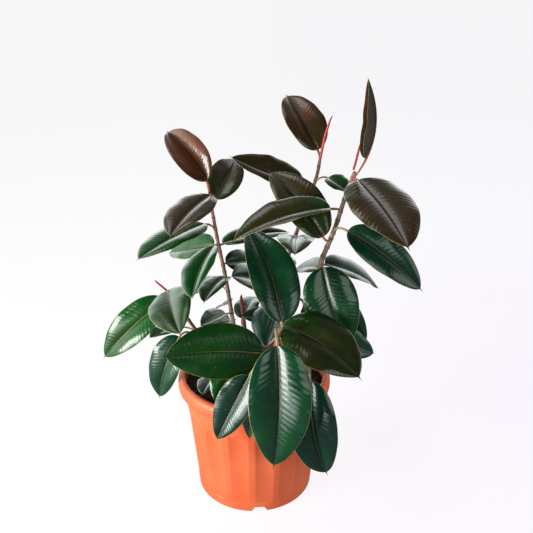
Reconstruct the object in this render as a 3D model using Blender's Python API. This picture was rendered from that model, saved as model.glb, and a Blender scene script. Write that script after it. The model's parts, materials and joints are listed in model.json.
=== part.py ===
"""Potted rubber plant: fluted nursery pot, potting mix, seven woody shoots and their leaves.

Metres, +Z up. The origin is the centre of the pot's underside, on the surface it stands on.
-Y is the front and +X is to the right.
"""

from math import cos, pi, radians, sin

import bmesh
import bpy
from mathutils import Vector

MM = 0.001
GAP = 0.4 * MM

# Pot
POT_HEIGHT = 0.217
FOOT_RADIUS = 0.100
FLUTE_TOP_RADIUS = 0.1157
RIM_RADIUS = 0.130
FLUTES = 16
FLUTE_FROM = 0.0165
FLUTE_TO = 0.1575
FLUTE_DEPTH = 0.0042
FLUTE_FOOT_SHARE = 0.22
FLUTE_HALF_ANGLE = 8.25
FLUTE_COLUMNS = (-8.25, -4.75, 0.0, 4.75, 8.25)
FLUTE_TURN = -90.0 + 9.75
BAND_TOP = 0.186
FLOOR_UNDERSIDE = 0.013
FLOOR_TOP = 0.0155
PAD_RADIUS = 0.020
RECESS_FROM = 0.028
RECESS_TO = 0.092
RIM_PROFILE = (
    (-0.0040, 0.1915),
    (0.0, 0.1975),
    (-0.0004, 0.2075),
    (-0.0028, 0.2140),
    (-0.0065, POT_HEIGHT),
)
INSIDE_PROFILE = (
    (0.1195, 0.2165),
    (0.1180, 0.2120),
    (0.1150, 0.1900),
    (0.0950, FLOOR_TOP),
    (0.0300, FLOOR_TOP),
    (0.0180, 0.0025),
)
NOTCHES = 4
NOTCH_TURN = -84.7
NOTCH_HEIGHT = 0.0095
NOTCH_FOOT_WIDTH = 0.027
NOTCH_TOP_WIDTH = 0.016
NOTCH_FROM = 0.0935
NOTCH_TO = 0.112
DRAIN_HOLES = 6
DRAIN_RADIUS = 0.006
DRAIN_CIRCLE = 0.060

# Potting mix
SOIL_LEVEL = 0.200
SOIL_EDGE_RADIUS = 0.1130
SOIL_COLUMNS = 36

# Shoots and leaves
STEM_SIDES = 8
STEM_STEP = 0.035
PETIOLE_RADIUS = 1.9 * MM
BLADE_THICKNESS = 1.1 * MM
MIDRIB_DEPTH = 2.6 * MM
TIP_RADIUS = 0.4 * MM
BLADE_STATIONS = (0.05, 0.15, 0.29, 0.45, 0.61, 0.76, 0.88, 0.96)

# Colours as (red, green, blue), roughness
TERRACOTTA_PLASTIC = (0.90, 0.16, 0.05), 0.45
POTTING_MIX = (0.020, 0.011, 0.007), 0.95
BARK = (0.42, 0.30, 0.21), 0.60
GREEN_BARK = (0.40, 0.22, 0.16), 0.50
SHEATH_RED = (0.42, 0.05, 0.04), 0.40
LEAF_MATURE = (0.008, 0.060, 0.025), 0.25
LEAF_YOUNG = (0.035, 0.040, 0.018), 0.30
LEAF_NEW = (0.120, 0.045, 0.025), 0.32

# Shoots: points in mm from the potting mix to the top, radius in mm at the foot and at the top
SHOOTS = {
    "left": (
        ((-24, 46, 203), (-37, 43, 288), (-48, 38, 373), (-59, 34, 439), (-67, 31, 495), (-72, 30, 519)),
        4.2,
        2.6,
    ),
    "middle": (
        ((13, 85, 203), (43, 105, 331), (61, 110, 389), (77, 112, 438), (104, 113, 520), (111, 112, 557)),
        4.6,
        2.8,
    ),
    "right": (
        ((57, 30, 203), (88, 30, 326), (111, 30, 404), (132, 30, 463), (145, 30, 510), (160, 30, 556)),
        5.6,
        3.4,
    ),
    "front": (((24, -28, 203), (31, -36, 262), (37, -46, 294), (43, -52, 324)), 4.4, 3.6),
    "low_left": (((-60, 24, 203), (-84, 13, 262), (-110, -2, 316), (-137, -16, 371)), 3.6, 2.6),
    "back": (((-12, 58, 203), (-16, 63, 250), (-19, 66, 282)), 3.8, 3.0),
    "low_right": (((76, -28, 203), (86, -40, 240), (93, -50, 275)), 3.6, 3.0),
}

# Bud sheaths: foot and point in mm, radius in mm, how far the middle bows sideways in mm
SHEATHS = {
    "middle": ((111.5, 110.5, 559), (128, 104, 634), 2.3, -2.0),
    "right": ((158.5, 35, 559.5), (163, 52, 597), 2.0, 0.6),
    "back": ((-19.2, 66.3, 284.5), (-24, 70, 328), 3.8, 0.0),
    "low_left": ((-139, -17, 373), (-160, -13, 391), 1.8, 0.0),
}
# Leaves: shoot, height of the node in mm, blade's base and tip in mm, width in mm, roll and fold in
# degrees, arch and sideways sway as shares of the length, age
LEAVES = {
    "left_1": ("left", 519, (-74, 26, 544), (-143, 94, 611), 72, -34, 43, 0.06, -0.01, "new"),
    "left_2": ("left", 506, (-61, 48, 508), (-32, 141, 554), 60, 20, 22, 0.06, 0.00, "young"),
    "left_3": ("left", 500, (-67, 12, 525), (-120, -92, 490), 69, 0, 6, 0.03, -0.05, "young"),
    "left_4": ("left", 462, (-79, 20, 475), (-173, -83, 451), 72, 0, 6, 0.02, -0.04, "mature"),
    "left_5": ("left", 422, (-68, 60, 424), (-155, 117, 388), 54, -37, 14, 0.03, 0.01, "mature"),
    "left_6": ("left", 434, (-65, 10, 440), (-91, -96, 393), 62, 24, 14, 0.03, -0.05, "mature"),
    "left_7": ("left", 430, (-52, 51, 431), (64, 103, 432), 58, 6, 10, 0.05, 0.00, "young"),
    "left_8": ("left", 384, (-48, 61, 391), (13, 140, 362), 44, 50, 12, 0.04, 0.00, "mature"),
    "left_9": ("left", 372, (-46, 21, 382), (-77, -62, 372), 42, 6, 14, 0.05, -0.04, "young"),
    "left_10": ("left", 348, (-73, 61, 354), (-114, 114, 319), 36, -43, 10, 0.03, 0.02, "mature"),
    "left_11": ("left", 305, (-48, 21, 315), (-85, -53, 328), 38, -30, 8, 0.02, 0.00, "mature"),
    "left_12": ("left", 312, (-44, 68, 314), (-68, 118, 280), 30, -20, 10, 0.02, 0.00, "mature"),
    "low_left_1": ("low_left", 350, (-150, 19, 340), (-262, 14, 231), 64, -59, 18, 0.08, -0.01, "mature"),
    "low_left_2": ("low_left", 366, (-136, -34, 381), (-103, -148, 360), 70, 25, 9, 0.04, -0.01, "mature"),
    "low_left_3": ("low_left", 292, (-125, 2, 300), (-168, -50, 305), 36, 0, 8, 0.03, -0.02, "mature"),
    "low_left_4": ("low_left", 276, (-125, -9, 286), (-165, -8, 165), 60, -64, 15, 0.08, -0.02, "mature"),
    "low_left_5": ("low_left", 222, (-61, -20, 223), (-81, -94, 226), 38, 8, 8, 0.05, -0.03, "mature"),
    "back_1": ("back", 262, (-23, 90, 272), (-1, 176, 277), 44, 0, 15, 0.06, 0.01, "mature"),
    "back_2": ("back", 240, (-48, 108, 250), (-78, 190, 165), 56, -10, 12, 0.10, 0.00, "mature"),
    "front_1": ("front", 320, (45, -72, 346), (-13, 36, 465), 82, -8, 22, 0.10, -0.03, "mature"),
    "front_2": ("front", 312, (49, -30, 317), (168, -116, 266), 100, 24, 4, 0.05, 0.06, "mature"),
    "front_3": ("front", 300, (37, -137, 338), (31, -173, 143), 97, -10, 18, 0.05, 0.03, "mature"),
    "front_4": ("front", 278, (15, -48, 276), (-137, -129, 314), 88, -70, -6, -0.03, -0.03, "mature"),
    "front_5": ("front", 262, (-5, -137, 286), (-57, -147, 176), 56, -60, 18, 0.01, -0.01, "mature"),
    "front_6": ("front", 238, (-30, -58, 256), (-63, -92, 212), 52, -30, 10, 0.05, 0.00, "mature"),
    "front_7": ("front", 254, (14, -131, 264), (-5, -140, 172), 38, -18, 18, 0.07, -0.03, "mature"),
    "low_right_1": ("low_right", 258, (88, -111, 263), (120, -128, 97), 80, 62, 24, 0.09, -0.05, "mature"),
    "low_right_2": ("low_right", 268, (126, 22, 283), (215, 52, 220), 47, 70, 15, 0.06, -0.03, "mature"),
    "right_1": ("right", 548, (175, 27, 580), (178, 85, 700), 44, -72, 66, -0.125, 0.00, "young"),
    "right_2": ("right", 540, (163, 3, 552), (219, -145, 490), 100, 5, 6, 0.02, 0.03, "young"),
    "right_3": ("right", 492, (120, -7, 510), (-36, -39, 463), 70, -13, 20, 0.07, -0.03, "young"),
    "right_4": ("right", 446, (112, 9, 457), (24, 97, 542), 74, -28, 22, 0.09, -0.01, "young"),
    "right_5": ("right", 456, (149, -12, 474), (272, -23, 374), 64, 50, 14, 0.08, 0.01, "mature"),
    "right_6": ("right", 396, (114, 18, 400), (159, -22, 266), 88, 50, 6, 0.02, -0.03, "mature"),
    "right_7": ("right", 386, (121, 55, 392), (225, 104, 323), 66, 18, 15, 0.05, 0.00, "mature"),
    "right_8": ("right", 372, (113, 61, 382), (75, 142, 349), 44, -28, 10, 0.03, -0.02, "mature"),
    "right_9": ("right", 330, (48, 48, 333), (20, -32, 274), 86, 28, 14, 0.05, 0.00, "mature"),
    "right_10": ("right", 290, (63, 72, 281), (-27, 44, 299), 50, -22, 8, 0.02, 0.01, "mature"),
    "right_11": ("right", 330, (144, 55, 332), (195, 73, 212), 46, 90, 18, 0.08, 0.01, "mature"),
    "middle_1": ("middle", 546, (108, 122, 573), (55, 207, 653), 70, -18, 22, 0.09, 0.02, "young"),
    "middle_2": ("middle", 506, (84, 122, 515), (-43, 115, 564), 67, -28, 16, 0.00, 0.02, "young"),
    "middle_3": ("middle", 522, (125, 98, 531), (158, 74, 512), 46, 10, 12, 0.04, -0.01, "mature"),
    "middle_4": ("middle", 424, (72, 84, 430), (66, -11, 432), 62, 0, 12, 0.07, 0.00, "mature"),
    "middle_5": ("middle", 342, (20, 71, 348), (-37, -18, 399), 56, -50, 10, 0.02, -0.03, "mature"),
    "middle_6": ("middle", 330, (50, 135, 345), (20, 235, 330), 74, 6, 12, 0.08, 0.00, "mature"),
    "middle_7": ("middle", 262, (112, 112, 275), (150, 215, 240), 76, -6, 12, 0.08, 0.00, "mature"),
}


def clear_scene():
    for obj in list(bpy.data.objects):
        bpy.data.objects.remove(obj, do_unlink=True)


def make_material(name, look):
    colour, roughness = look
    material = bpy.data.materials.new(name)
    material.use_nodes = True
    shader = material.node_tree.nodes["Principled BSDF"]
    shader.inputs["Base Color"].default_value = (*colour, 1.0)
    shader.inputs["Roughness"].default_value = roughness
    shader.inputs["Metallic"].default_value = 0.0
    return material


def add_object(name, bm, look, smooth_under=35.0):
    """Turns bm into an object called name, with its faces out and its gentle edges smooth."""
    bmesh.ops.recalc_face_normals(bm, faces=bm.faces)
    mesh = bpy.data.meshes.new(name)
    bm.to_mesh(mesh)
    bm.free()
    mesh.shade_smooth()
    mesh.set_sharp_from_angle(angle=radians(smooth_under))
    mesh.materials.append(make_material(name, look))
    obj = bpy.data.objects.new(name, mesh)
    bpy.context.scene.collection.objects.link(obj)
    return obj


def loft(rings):
    """A closed skin through rings of equally many points, with a flat cap on each end."""
    bm = bmesh.new()
    loops = [[bm.verts.new(point) for point in ring] for ring in rings]
    count = len(loops[0])
    for low, high in zip(loops, loops[1:]):
        for i in range(count):
            j = (i + 1) % count
            bm.faces.new((low[i], low[j], high[j], high[i]))
    bm.faces.new(loops[0])
    bm.faces.new(loops[-1])
    return bm


def curve_through(points, step):
    """Points about step apart on a smooth curve through the given points."""
    points = [Vector(p) for p in points]
    ends = [2 * points[0] - points[1], *points, 2 * points[-1] - points[-2]]
    path = [points[0]]
    for a, b, c, d in zip(ends, ends[1:], ends[2:], ends[3:]):
        pieces = max(1, round((c - b).length / step))
        for k in range(1, pieces + 1):
            t = k / pieces
            smooth = b * 2 + (c - a) * t + (a * 2 - b * 5 + c * 4 - d) * t * t
            path.append((smooth + (b * 3 - a - c * 3 + d) * t**3) / 2)
    return path


def directions(path):
    """The unit direction of a path at each of its points."""
    steps = [(b - a).normalized() for a, b in zip(path, path[1:])]
    middle = [(a + b).normalized() for a, b in zip(steps, steps[1:])]
    return [steps[0], *middle, steps[-1]]


def ring_around(centre, side, normal, radius, count=STEM_SIDES):
    turns = [2 * pi * k / count for k in range(count)]
    return [centre + (side * cos(a) + normal * sin(a)) * radius for a in turns]


def tube_rings(path, radii):
    """Rings square to a path, turned as little as possible from one to the next."""
    side = Vector((1, 0, 0))
    rings = []
    for centre, along, radius in zip(path, directions(path), radii):
        side = (side - along * side.dot(along)).normalized()
        rings.append(ring_around(centre, side, along.cross(side), radius))
    return rings


# Pot and potting mix


def wall_radius(z):
    return FOOT_RADIUS + (FLUTE_TOP_RADIUS - FOOT_RADIUS) * z / FLUTE_TO


def pot_profile():
    """(radius, height, share of the flutes' depth) from the pad's edge, out and up, then down inside."""
    band = wall_radius(BAND_TOP)
    underside = [(PAD_RADIUS, 0, 0), (RECESS_FROM, FLOOR_UNDERSIDE, 0), (RECESS_TO, FLOOR_UNDERSIDE, 0)]
    foot = [(FOOT_RADIUS - 0.0035, 0, 0), (FOOT_RADIUS, 0, 0), (wall_radius(0.0150), 0.0150, 0)]
    flutes = [
        (wall_radius(FLUTE_FROM), FLUTE_FROM, FLUTE_FOOT_SHARE),
        (wall_radius(FLUTE_TO - 0.002), FLUTE_TO - 0.002, 1),
        (wall_radius(FLUTE_TO), FLUTE_TO, 0),
    ]
    rim = [(band, BAND_TOP, 0), (band + 0.0010, 0.1900, 0)]
    rim += [(RIM_RADIUS + step, height, 0) for step, height in RIM_PROFILE]
    inside = [(radius, height, 0) for radius, height in INSIDE_PROFILE]
    return underside + foot + flutes + rim + inside


def flute_share(offset):
    """How deep a flute is at an angle from its middle, as a share of its greatest depth."""
    return max(0.0, 1 - (offset / FLUTE_HALF_ANGLE) ** 2)


def make_pot():
    pitch = 360 / FLUTES
    columns = [(FLUTE_TURN + i * pitch + c, flute_share(c)) for i in range(FLUTES) for c in FLUTE_COLUMNS]
    rings = []
    for radius, height, fluted in pot_profile():
        ring = []
        for angle, share in columns:
            r = radius - FLUTE_DEPTH * share * fluted
            ring.append((r * cos(radians(angle)), r * sin(radians(angle)), height))
        rings.append(ring)
    pot = add_object("pot", loft(rings), TERRACOTTA_PLASTIC)
    for k in range(NOTCHES):
        cut(pot, notch_cutter(NOTCH_TURN + k * 360 / NOTCHES))
    for k in range(DRAIN_HOLES):
        cut(pot, drain_cutter(360 * k / DRAIN_HOLES))
    return pot


def notch_cutter(angle):
    """A tapered block across the foot ring."""
    out = Vector((cos(radians(angle)), sin(radians(angle)), 0))
    side = Vector((-out.y, out.x, 0))
    rings = []
    for distance in (NOTCH_FROM, NOTCH_TO):
        ring = []
        for across, z in ((-1, 0), (1, 0), (1, 1), (-1, 1)):
            half = (NOTCH_TOP_WIDTH if z else NOTCH_FOOT_WIDTH + 0.004) / 2
            up = NOTCH_HEIGHT if z else -0.003
            ring.append(out * distance + side * half * across + Vector((0, 0, up)))
        rings.append(ring)
    return loft(rings)


def drain_cutter(angle):
    centre = Vector((cos(radians(angle)), sin(radians(angle)), 0)) * DRAIN_CIRCLE
    lift = Vector((0, 0, FLOOR_TOP + 0.002))
    along, across = Vector((1, 0, 0)), Vector((0, 1, 0))
    low = ring_around(centre + Vector((0, 0, FLOOR_UNDERSIDE - 0.002)), along, across, DRAIN_RADIUS, 12)
    return loft([low, ring_around(centre + lift, along, across, DRAIN_RADIUS, 12)])


def cut(obj, cutter_bm):
    """Cuts a closed block out of obj with a Boolean."""
    cutter = add_object(f"cutter_{len(obj.modifiers)}", cutter_bm, TERRACOTTA_PLASTIC)
    cutter.hide_render = True
    cutter.display_type = "WIRE"
    modifier = obj.modifiers.new("cut", "BOOLEAN")
    modifier.operation = "DIFFERENCE"
    modifier.solver = "EXACT"
    modifier.object = cutter


def soil_height(x, y):
    """The level of the potting mix, with low mounds."""
    return SOIL_LEVEL + 0.0016 * sin(62 * x + 0.4) * cos(55 * y - 0.7) - 0.0009 * sin(90 * x * y / 0.1)


def make_soil():
    rings = []
    for radius, height in ((0.0940, FLOOR_TOP + GAP), (SOIL_EDGE_RADIUS, 0.1880), (SOIL_EDGE_RADIUS, None)):
        rings.append(soil_ring(radius, height))
    for radius in (0.098, 0.080, 0.060, 0.040, 0.020):
        rings.append(soil_ring(radius, None))
    rings.append(soil_ring(0.006, soil_height(0, 0)))
    return add_object("soil", loft(rings), POTTING_MIX, 60.0)


def soil_ring(radius, height):
    """One ring of the potting mix, at a height or, where height is None, on its mounded surface."""
    ring = []
    for k in range(SOIL_COLUMNS):
        x = radius * cos(2 * pi * k / SOIL_COLUMNS)
        y = radius * sin(2 * pi * k / SOIL_COLUMNS)
        ring.append((x, y, soil_height(x, y) if height is None else height))
    return ring


# Shoots


def shoot_path(name):
    points, _, _ = SHOOTS[name]
    points = [Vector(p) * MM for p in points]
    lean = (points[1] - points[0]).xy.length / (points[1] - points[0]).length
    points[0].z = soil_height(points[0].x, points[0].y) + lean * SHOOTS[name][1] * MM + 2 * GAP
    return curve_through(points, STEM_STEP)


def shoot_radius(name, z):
    points, foot, top = SHOOTS[name]
    share = (z / MM - points[0][2]) / (points[-1][2] - points[0][2])
    return (foot + (top - foot) * min(max(share, 0), 1)) * MM


def point_on_shoot(name, z):
    """The centre and direction of a shoot at height z."""
    path = shoot_path(name)
    for a, b in zip(path, path[1:]):
        if a.z <= z <= b.z:
            return a.lerp(b, (z - a.z) / (b.z - a.z)), (b - a).normalized()
    return path[-1], (path[-1] - path[-2]).normalized()


def make_shoot(name):
    path = shoot_path(name)
    radii = [shoot_radius(name, p.z) for p in path]
    look = BARK if radii[0] > 4 * MM else GREEN_BARK
    return add_object(f"stem_{name}", loft(tube_rings(path, radii)), look)


def make_sheath(name):
    foot, point, radius, bow = SHEATHS[name]
    foot, point = Vector(foot) * MM, Vector(point) * MM
    path = [foot.lerp(point, t) + Vector((bow * MM * sin(pi * t), 0, 0)) for t in (0, 0.25, 0.55, 0.8, 1)]
    radii = [radius * MM * share for share in (0.8, 1.0, 0.85, 0.55, 0.15)]
    return add_object(f"sheath_{name}", loft(tube_rings(path, radii)), SHEATH_RED)


# Leaves


def blade_share(s):
    """The blade's half width at s, as a share of its greatest: round at the base, pointed at the tip."""
    q = min(max(s / 0.95, 0), 1)
    rise, fall = 0.50, 0.72
    peak = (rise / (rise + fall)) ** rise * (fall / (rise + fall)) ** fall
    return q**rise * (1 - q) ** fall / peak


def blade_frame(base, tip, roll, arch, sway, s):
    """The midrib's point at s, its direction, the way to the left margin, and the upper face's normal."""
    chord = tip - base
    length = chord.length
    along = chord / length
    up = Vector((0, 0, 1))
    normal = (up - along * up.dot(along)).normalized()
    side = normal.cross(along)
    turned_side = side * cos(roll) + normal * sin(roll)
    turned_normal = normal * cos(roll) - side * sin(roll)
    bend = (turned_normal * arch + turned_side * sway) * length
    point = base + chord * s + bend * 4 * s * (1 - s)
    tangent = (chord + bend * 4 * (1 - 2 * s)).normalized()
    side = (turned_side - tangent * turned_side.dot(tangent)).normalized()
    return point, tangent, side, tangent.cross(side)


def blade_ring(point, side, normal, half_width, fold, s):
    """Five points across the upper face and three under it, the middle one on the midrib's keel."""
    across, rise = cos(fold), sin(fold)
    keel = MIDRIB_DEPTH * (1 - 0.6 * s)
    under = min(BLADE_THICKNESS, half_width * 0.4)
    shape = ((1, 0), (0.5, 0), (0, 0), (-0.5, 0), (-1, 0), (-0.5, under), (0, max(keel, under)), (0.5, under))
    return [
        point + side * u * across * half_width + normal * (abs(u) * rise * half_width - drop)
        for u, drop in shape
    ]


def petiole_path(start, base, tangent):
    """Three points on a bend from the shoot to the blade, which it meets in the blade's direction."""
    control = base - tangent * (base - start).length * 0.5
    points = []
    for t in (0.0, 0.35, 0.7):
        points.append(start * (1 - t) ** 2 + control * 2 * t * (1 - t) + base * t * t)
    return points


def petiole_start(shoot, node, base):
    """A point just off the shoot's side, or just above its end, and the direction out of it."""
    centre, along = point_on_shoot(shoot, node)
    radius = shoot_radius(shoot, node)
    reach = base - centre
    if node / MM >= SHOOTS[shoot][0][-1][2]:
        return centre + along * (GAP + 0.3 * MM), along
    out = (reach - along * reach.dot(along)).normalized()
    return centre + out * (radius + GAP), out


def make_leaf(name):
    shoot, node, base, tip, width, roll, fold, arch, sway, age = LEAVES[name]
    base, tip = Vector(base) * MM, Vector(tip) * MM
    roll, fold = radians(roll), radians(fold)
    point, tangent, side, normal = blade_frame(base, tip, roll, arch, sway, 0)
    start, out = petiole_start(shoot, node * MM, base)
    path = [*petiole_path(start, base, tangent), base]
    rings = []
    for centre, along in reversed(list(zip(path, [out, *directions(path)[1:-1], tangent]))):
        side = (side - along * side.dot(along)).normalized()
        rings.insert(0, ring_around(centre, side, along.cross(side), PETIOLE_RADIUS))
    for s in BLADE_STATIONS:
        point, tangent, side, normal = blade_frame(base, tip, roll, arch, sway, s)
        half_width = width * MM / 2 * blade_share(s) + 1.5 * MM * (1 - s)
        rings.append(blade_ring(point, side, normal, half_width, fold, s))
    point, tangent, side, normal = blade_frame(base, tip, roll, arch, sway, 1)
    rings.append(ring_around(point, side, normal, TIP_RADIUS))
    looks = {"mature": LEAF_MATURE, "young": LEAF_YOUNG, "new": LEAF_NEW}
    return add_object(f"leaf_{name}", loft(rings), looks[age], 60.0)


def main():
    clear_scene()
    make_pot()
    make_soil()
    for name in SHOOTS:
        make_shoot(name)
    for name in SHEATHS:
        make_sheath(name)
    for name in LEAVES:
        make_leaf(name)


main()
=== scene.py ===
"""Potted rubber plant: fluted nursery pot, potting mix, seven woody shoots and their waxy leaves.

Metres, +Z up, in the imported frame. Every piece stands for one CAD node and rides on "root".
"""

import json
from math import cos, pi, radians, sin

import bpy
import numpy as np
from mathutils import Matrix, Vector

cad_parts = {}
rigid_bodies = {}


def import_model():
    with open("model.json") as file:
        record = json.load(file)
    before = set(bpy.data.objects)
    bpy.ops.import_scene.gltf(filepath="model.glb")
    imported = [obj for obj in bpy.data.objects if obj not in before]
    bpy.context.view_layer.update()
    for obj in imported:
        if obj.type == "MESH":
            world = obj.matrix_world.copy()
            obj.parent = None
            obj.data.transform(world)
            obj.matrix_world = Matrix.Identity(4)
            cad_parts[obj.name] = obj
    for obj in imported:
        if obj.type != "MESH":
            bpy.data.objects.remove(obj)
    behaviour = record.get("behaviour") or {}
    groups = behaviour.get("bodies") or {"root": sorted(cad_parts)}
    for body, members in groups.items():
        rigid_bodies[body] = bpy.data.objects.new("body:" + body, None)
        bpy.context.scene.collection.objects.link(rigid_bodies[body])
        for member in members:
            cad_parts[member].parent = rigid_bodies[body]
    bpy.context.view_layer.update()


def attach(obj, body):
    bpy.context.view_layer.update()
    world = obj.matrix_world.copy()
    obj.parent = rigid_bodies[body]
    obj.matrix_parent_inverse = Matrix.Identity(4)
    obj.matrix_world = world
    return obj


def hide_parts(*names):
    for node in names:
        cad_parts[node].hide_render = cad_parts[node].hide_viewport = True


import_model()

MM = 0.001
UP = np.array((0.0, 0.0, 1.0))

# Pot, as in the CAD
POT_HEIGHT = 0.217
FOOT_RADIUS = 0.1
FLUTE_TOP_RADIUS = 0.1157
RIM_RADIUS = 0.13
FLUTES = 16
FLUTE_FROM = 0.0165
FLUTE_TO = 0.1575
FLUTE_DEPTH = 0.0042
FLUTE_FOOT_SHARE = 0.22
FLUTE_HALF_ANGLE = 8.25
FLUTE_TURN = -90.0 + 9.75
BAND_TOP = 0.186
FLOOR_UNDERSIDE = 0.013
FLOOR_TOP = 0.0155
PAD_RADIUS = 0.02
NOTCHES = 4
NOTCH_TURN = -84.7
NOTCH_HEIGHT = 0.0095
NOTCH_FOOT_WIDTH = 0.027
NOTCH_TOP_WIDTH = 0.016
NOTCH_FROM = 0.0935
NOTCH_TO = 0.112
DRAIN_HOLES = 6
DRAIN_RADIUS = 0.006
DRAIN_CIRCLE = 0.06
SOIL_LEVEL = 0.2
SOIL_EDGE_RADIUS = 0.113
CHIPS = 950

CLOSING_RADIUS = 0.0004
BAND_PROFILE = ((0.0003, BAND_TOP), (0.0012, 0.1893), (0.0028, 0.1908))
RIM_PROFILE = (
    (0.0046, 0.1917),
    (0.002, 0.193),
    (0.0006, 0.1952),
    (0.0, 0.1985),
    (0.0, 0.204),
    (0.0005, 0.2088),
    (0.0016, 0.2125),
    (0.0034, 0.2151),
    (0.0055, 0.2166),
    (0.0078, POT_HEIGHT),
)
INSIDE_PROFILE = (
    (0.1204, 0.2168),
    (0.119, 0.2158),
    (0.1182, 0.2138),
    (0.1176, 0.21),
    (0.115, 0.19),
    (0.103, 0.09),
    (0.0956, 0.019),
    (0.0946, 0.0165),
    (0.0925, FLOOR_TOP),
    (0.06, FLOOR_TOP),
    (0.03, FLOOR_TOP),
    (0.029, 0.015),
    (0.018, 0.003),
    (0.017, 0.0025),
    (CLOSING_RADIUS, 0.0025),
)

# Shoots: points in mm from the potting mix to the top, radius in mm at the foot and at the top
SHOOTS = {
    "left": (
        ((-24, 46, 203), (-37, 43, 288), (-48, 38, 373), (-59, 34, 439), (-67, 31, 495), (-72, 30, 519)),
        4.2,
        2.6,
    ),
    "middle": (
        ((13, 85, 203), (43, 105, 331), (61, 110, 389), (77, 112, 438), (104, 113, 520), (111, 112, 557)),
        4.6,
        2.8,
    ),
    "right": (
        ((57, 30, 203), (88, 30, 326), (111, 30, 404), (132, 30, 463), (145, 30, 510), (160, 30, 556)),
        5.6,
        3.4,
    ),
    "front": (((24, -28, 203), (31, -36, 262), (37, -46, 294), (43, -52, 324)), 4.4, 3.6),
    "low_left": (((-60, 24, 203), (-84, 13, 262), (-110, -2, 316), (-137, -16, 371)), 3.6, 2.6),
    "back": (((-12, 58, 203), (-16, 63, 250), (-19, 66, 282)), 3.8, 3.0),
    "low_right": (((76, -28, 203), (86, -40, 240), (93, -50, 275)), 3.6, 3.0),
}

# How pink and fresh each shoot's bark is
FRESHNESS = {"left": 0.75, "middle": 0.35, "right": 0.1, "front": 0.45}
FRESHNESS |= {"low_left": 0.9, "back": 0.6, "low_right": 0.5}

# Bud sheaths: foot and point in mm, radius in mm, how far the middle bows sideways in mm, and the
# blush from red 0 to brown 1
SHEATHS = {
    "middle": ((111.5, 110.5, 559), (128, 104, 634), 2.3, -2.0, 0.0),
    "right": ((158.5, 35, 559.5), (169, 48, 600), 2.0, 0.6, 0.2),
    "back": ((-19.2, 66.3, 284.5), (-24, 70, 328), 3.8, 0.0, 1.0),
    "low_left": ((-139, -17, 373), (-160, -13, 391), 1.8, 0.0, 0.6),
}

# A sheath's radius along its length, as shares of both
SHEATH_PLACES = (0, 0.08, 0.25, 0.55, 0.8, 0.92, 0.96, 1)
SHEATH_RADII = (0.82, 0.94, 1, 0.94, 0.74, 0.5, 0.3, 0.1)

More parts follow.
